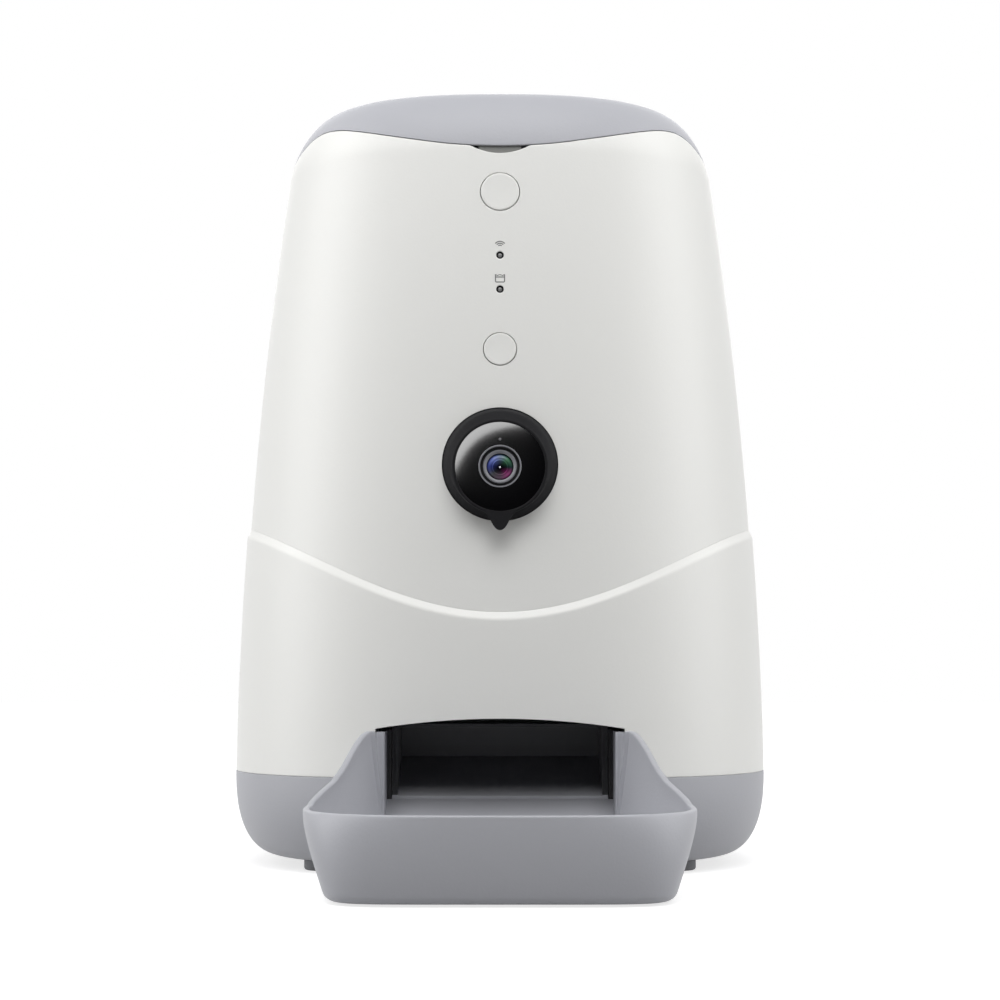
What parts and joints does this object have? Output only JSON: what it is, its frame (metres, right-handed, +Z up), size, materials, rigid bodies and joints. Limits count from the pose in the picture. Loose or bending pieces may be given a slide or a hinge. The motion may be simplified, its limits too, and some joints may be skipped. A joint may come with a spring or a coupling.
{
  "type": "pet feeder with camera",
  "caption": "Upright dry-food pet feeder with a hinged lid, hopper, motor-driven portion rotor, pull-out bowl and a tilting camera ball in the front.",
  "frame": {"origin": "under the middle of the whole object, on the surface that it stands on", "axes": "+Z up, the bowl and the camera face -Y, +X to the right of someone who looks at the front"},
  "size_m": [0.213, 0.3154, 0.3015],
  "materials": {
    "white_shell": "satin moulded plastic",
    "grey_shell": "fine matte moulded plastic",
    "pale_plastic": "smooth moulded plastic",
    "dark_plastic": "matte charcoal plastic",
    "gear_plastic": "natural acetal",
    "black_gloss": "polished black window",
    "lens": "coated lens",
    "soft_rubber": "matte rubber",
    "steel": "plain steel",
    "circuit": "circuit board with solder mask"
  },
  "bodies": {
    "housing": {"lower_housing": "white_shell", "upper_housing": "white_shell", "base_pan": "grey_shell", "hopper": "pale_plastic", "dispenser_drum": "pale_plastic", "light_pipes": "pale_plastic", "discharge_chute": "dark_plastic", "gearbox_housing": "dark_plastic", "camera_bracket": "dark_plastic", "speaker": "dark_plastic", "dc_inlet": "dark_plastic", "rubber_feet": "soft_rubber", "base_screws": "steel", "gearbox_screws": "steel", "bracket_screws": "steel", "drive_motor": "steel", "idler_axle": "steel", "hinge_pin": "steel", "main_board": "circuit", "button_board": "circuit"},
    "lid": {"lid_cover": "grey_shell", "lid_liner": "pale_plastic", "lid_seal": "soft_rubber", "desiccant_cover": "grey_shell"},
    "bowl": {"feeding_bowl": "grey_shell"},
    "feed_key": {"feed_button": "white_shell"},
    "call_key": {"call_button": "white_shell"},
    "camera": {"camera_ball": "dark_plastic", "camera_window": "black_gloss", "lens_barrel": "dark_plastic", "lens_glass": "lens", "camera_board": "circuit"},
    "rotor": {"output_shaft": "steel", "output_gear": "gear_plastic", "portion_rotor": "pale_plastic", "agitator": "grey_shell"},
    "idler": {"idler_gear": "gear_plastic"},
    "pinion": {"motor_pinion": "gear_plastic"}
  },
  "joints": [
    {"name": "lid_hinge", "type": "hinge", "parent": "housing", "child": "lid", "pos_m": [0, 0.14121, 0.281], "axis": [-1, 0, 0], "range_deg": [0, 90]},
    {"name": "bowl_slide", "type": "slide", "parent": "housing", "child": "bowl", "axis": [0, -1, 0], "range_m": [0, 0.13]},
    {"name": "feed_button_press", "type": "slide", "parent": "housing", "child": "feed_key", "axis": [0, 0.9914, -0.1307], "range_m": [0, 0.0008], "stiffness_N_per_m": 1500, "springref_m": -0.0003},
    {"name": "call_button_press", "type": "slide", "parent": "housing", "child": "call_key", "axis": [0, 0.995, -0.0999], "range_m": [0, 0.0008], "stiffness_N_per_m": 1500, "springref_m": -0.0003},
    {"name": "camera_tilt", "type": "hinge", "parent": "housing", "child": "camera", "pos_m": [0, -0.04156, 0.15116], "axis": [1, 0, 0], "range_deg": [-10, 10]},
    {"name": "rotor_spin", "type": "hinge", "parent": "housing", "child": "rotor", "pos_m": [0, 0.04325, 0.1], "axis": [0, 0, 1], "continuous": true},
    {"name": "idler_spin", "type": "hinge", "parent": "housing", "child": "idler", "pos_m": [0, 0.07435, 0.075], "axis": [0, 0, 1], "continuous": true},
    {"name": "pinion_spin", "type": "hinge", "parent": "housing", "child": "pinion", "pos_m": [0, 0.10245, 0.07], "axis": [0, 0, 1], "continuous": true}
  ],
  "couplings": [
    {"joint": "idler_spin", "follows": "rotor_spin", "ratio": -3.4286},
    {"joint": "pinion_spin", "follows": "rotor_spin", "ratio": 10.286}
  ]
}
